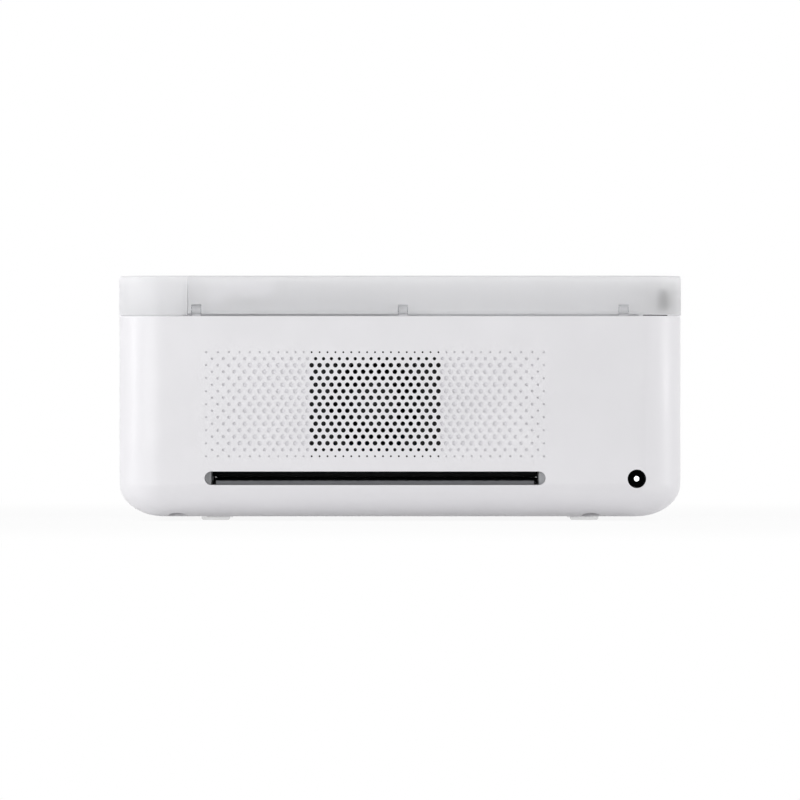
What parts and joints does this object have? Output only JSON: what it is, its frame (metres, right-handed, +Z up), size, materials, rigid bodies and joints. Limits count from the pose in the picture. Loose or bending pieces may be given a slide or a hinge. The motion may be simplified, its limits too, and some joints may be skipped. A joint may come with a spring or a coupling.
{
  "type": "compact photo printer",
  "caption": "Free-standing photo printer: hinged frosted lid over a stored paper cassette, front and side doors, perforated rear vent and geared print mechanism.",
  "frame": {"origin": "middle of the footprint, on the surface the feet stand on", "axes": "+Z up, -Y towards the paper door at the front, +Y towards the vented rear, +X towards the ribbon door"},
  "size_m": [0.1944, 0.123, 0.0845],
  "materials": {
    "white_shell": "fine matt moulded white",
    "frosted_shell": "frosted translucent plastic with a satin skin",
    "dark_plastic": "matt dark grey",
    "black_plastic": "matt black",
    "pale_plastic": "satin pale grey",
    "gear_plastic": "natural acetal",
    "steel": "zinc-plated sheet",
    "shaft_steel": "ground bright",
    "aluminium": "extruded, plain",
    "brass": "machined",
    "rubber": "matt",
    "circuit_board": "green solder mask",
    "paper": "coated white",
    "film": "thin dark film",
    "lens": "clear-white"
  },
  "bodies": {
    "chassis": {"main_casing": "white_shell", "rubber_feet": "rubber", "casing_screws": "shaft_steel", "top_deck": "white_shell", "end_cap": "frosted_shell", "lid_hinge_pins": "shaft_steel", "lid_hinge_damper": "black_plastic", "catch_magnets": "shaft_steel", "front_door_pin": "shaft_steel", "ribbon_door_pin": "shaft_steel", "power_switch": "circuit_board", "status_light": "lens", "chassis_left": "steel", "chassis_right": "steel", "cassette_bed": "steel", "front_brace": "steel", "chassis_screws": "shaft_steel", "rear_paper_guide": "pale_plastic", "roller_bushes": "gear_plastic", "gear_pins": "shaft_steel", "feed_motor": "steel", "head_pivot_shaft": "shaft_steel", "pickup_shaft": "shaft_steel", "ribbon_motor": "steel", "ribbon_motor_bracket": "steel", "fan_duct": "black_plastic", "cooling_fan": "black_plastic", "main_board": "circuit_board", "dc_jack": "black_plastic"},
    "lid": {"lid": "frosted_shell", "lid_hinge_bar": "dark_plastic", "lid_catch_plates": "steel"},
    "cassette": {"paper_cassette": "pale_plastic"},
    "cassette_cover": {"cassette_cover": "pale_plastic"},
    "lift_plate": {"paper_lift_plate": "steel", "paper_stack": "paper"},
    "front_door": {"front_door": "white_shell"},
    "ribbon_door": {"ribbon_door": "white_shell"},
    "power_button": {"power_button": "pale_plastic"},
    "print_head": {"print_head": "dark_plastic", "head_heatsink": "aluminium", "head_arm": "steel"},
    "pickup_arm": {"pickup_arm": "pale_plastic"},
    "pickup_roller": {"pickup_roller": "rubber"},
    "platen": {"platen_roller": "rubber", "platen_gear": "gear_plastic"},
    "capstan": {"capstan_roller": "shaft_steel", "capstan_gear": "gear_plastic"},
    "pinch_roller": {"pinch_roller": "rubber"},
    "idler_gear": {"idler_gear": "gear_plastic"},
    "reduction_gear": {"reduction_gear": "gear_plastic"},
    "feed_pinion": {"motor_pinion": "brass"},
    "ribbon_cartridge": {"ribbon_cartridge": "dark_plastic", "ribbon_film": "film"},
    "supply_spool": {"supply_spool": "film"},
    "take_up_spool": {"take_up_spool": "film"},
    "take_up_hub": {"take_up_hub": "gear_plastic"},
    "ribbon_pinion": {"ribbon_motor_pinion": "brass"},
    "fan_rotor": {"fan_rotor": "black_plastic"}
  },
  "joints": [
    {"name": "lid_hinge", "type": "hinge", "parent": "chassis", "child": "lid", "pos_m": [0, 0.05975, 0.07275], "axis": [-1, 0, 0], "range_deg": [0, 95]},
    {"name": "cassette_lift", "type": "slide", "parent": "chassis", "child": "cassette", "axis": [0, 0, 1], "range_m": [0, 0.0141]},
    {"name": "cassette_cover_hinge", "type": "hinge", "parent": "cassette", "child": "cassette_cover", "pos_m": [0, 0.0527, 0.0802], "axis": [-1, 0, 0], "range_deg": [0, 66.51]},
    {"name": "lift_plate_hinge", "type": "hinge", "parent": "cassette", "child": "lift_plate", "pos_m": [0.0664, 0, 0.06485], "axis": [0, 1, 0], "range_deg": [0, 2.8]},
    {"name": "front_door_hinge", "type": "hinge", "parent": "chassis", "child": "front_door", "pos_m": [0.0086, -0.05975, 0.01515], "axis": [1, 0, 0], "range_deg": [0, 90]},
    {"name": "ribbon_door_hinge", "type": "hinge", "parent": "chassis", "child": "ribbon_door", "pos_m": [0.0955, 0.008, 0.02745], "axis": [0, 1, 0], "range_deg": [0, 90]},
    {"name": "cartridge_slide", "type": "slide", "parent": "chassis", "child": "ribbon_cartridge", "axis": [1, 0, 0], "range_m": [0, 0.01995]},
    {"name": "supply_spool_spin", "type": "hinge", "parent": "ribbon_cartridge", "child": "supply_spool", "pos_m": [0, -0.014, 0.041], "axis": [1, 0, 0], "continuous": true},
    {"name": "take_up_spool_spin", "type": "hinge", "parent": "ribbon_cartridge", "child": "take_up_spool", "pos_m": [0, 0.03, 0.041], "axis": [1, 0, 0], "continuous": true},
    {"name": "take_up_hub_spin", "type": "hinge", "parent": "chassis", "child": "take_up_hub", "pos_m": [0, 0.03, 0.041], "axis": [1, 0, 0], "continuous": true},
    {"name": "ribbon_pinion_spin", "type": "hinge", "parent": "chassis", "child": "ribbon_pinion", "pos_m": [0, 0.0174, 0.041], "axis": [1, 0, 0], "continuous": true},
    {"name": "power_button_press", "type": "slide", "parent": "chassis", "child": "power_button", "axis": [0, 0, -1], "range_m": [0, 0.0006], "stiffness_N_per_m": 1500, "springref_m": -0.0003},
    {"name": "print_head_swing", "type": "hinge", "parent": "chassis", "child": "print_head", "pos_m": [0, -0.026, 0.056], "axis": [-1, 0, 0], "range_deg": [0, 4.8], "stiffness_Nm_per_rad": 0.6, "springref_deg": -7.45},
    {"name": "pickup_arm_swing", "type": "hinge", "parent": "chassis", "child": "pickup_arm", "pos_m": [0, -0.054, 0.04], "axis": [-1, 0, 0], "range_deg": [0, 36], "stiffness_Nm_per_rad": 0.02, "springref_deg": -22.92},
    {"name": "pickup_roller_spin", "type": "hinge", "parent": "pickup_arm", "child": "pickup_roller", "pos_m": [0, -0.035, 0.041], "axis": [1, 0, 0], "continuous": true},
    {"name": "capstan_spin", "type": "hinge", "parent": "chassis", "child": "capstan", "pos_m": [0, 0.024, 0.01135], "axis": [1, 0, 0], "continuous": true},
    {"name": "platen_spin", "type": "hinge", "parent": "chassis", "child": "platen", "pos_m": [0, 0.008, 0.01055], "axis": [1, 0, 0], "continuous": true},
    {"name": "pinch_spin", "type": "hinge", "parent": "chassis", "child": "pinch_roller", "pos_m": [0, 0.024, 0.01835], "axis": [1, 0, 0], "continuous": true},
    {"name": "idler_gear_spin", "type": "hinge", "parent": "chassis", "child": "idler_gear", "pos_m": [0, 0.01645, 0.01728], "axis": [1, 0, 0], "continuous": true},
    {"name": "reduction_gear_spin", "type": "hinge", "parent": "chassis", "child": "reduction_gear", "pos_m": [0, 0.0313, 0.02514], "axis": [1, 0, 0], "continuous": true},
    {"name": "feed_pinion_spin", "type": "hinge", "parent": "chassis", "child": "feed_pinion", "pos_m": [0, 0.0455, 0.0275], "axis": [1, 0, 0], "continuous": true},
    {"name": "fan_spin", "type": "hinge", "parent": "chassis", "child": "fan_rotor", "pos_m": [0.0086, 0.04715, 0.0402], "axis": [0, 1, 0], "continuous": true}
  ],
  "couplings": [
    {"joint": "cassette_lift", "follows": "lid_hinge", "m_per_rad": 0.0085},
    {"joint": "cassette_cover_hinge", "follows": "lid_hinge", "ratio": 0.7},
    {"joint": "ribbon_door_hinge", "follows": "cartridge_slide", "rad_per_m": 78.7},
    {"joint": "supply_spool_spin", "follows": "take_up_spool_spin", "ratio": 0.66667},
    {"joint": "take_up_hub_spin", "follows": "take_up_spool_spin", "ratio": 1},
    {"joint": "ribbon_pinion_spin", "follows": "take_up_spool_spin", "ratio": -2.5},
    {"joint": "platen_spin", "follows": "capstan_spin", "ratio": 0.8},
    {"joint": "pinch_spin", "follows": "capstan_spin", "ratio": -0.91429},
    {"joint": "idler_gear_spin", "follows": "capstan_spin", "ratio": -1},
    {"joint": "reduction_gear_spin", "follows": "capstan_spin", "ratio": -0.44444},
    {"joint": "feed_pinion_spin", "follows": "capstan_spin", "ratio": 1.3333}
  ]
}
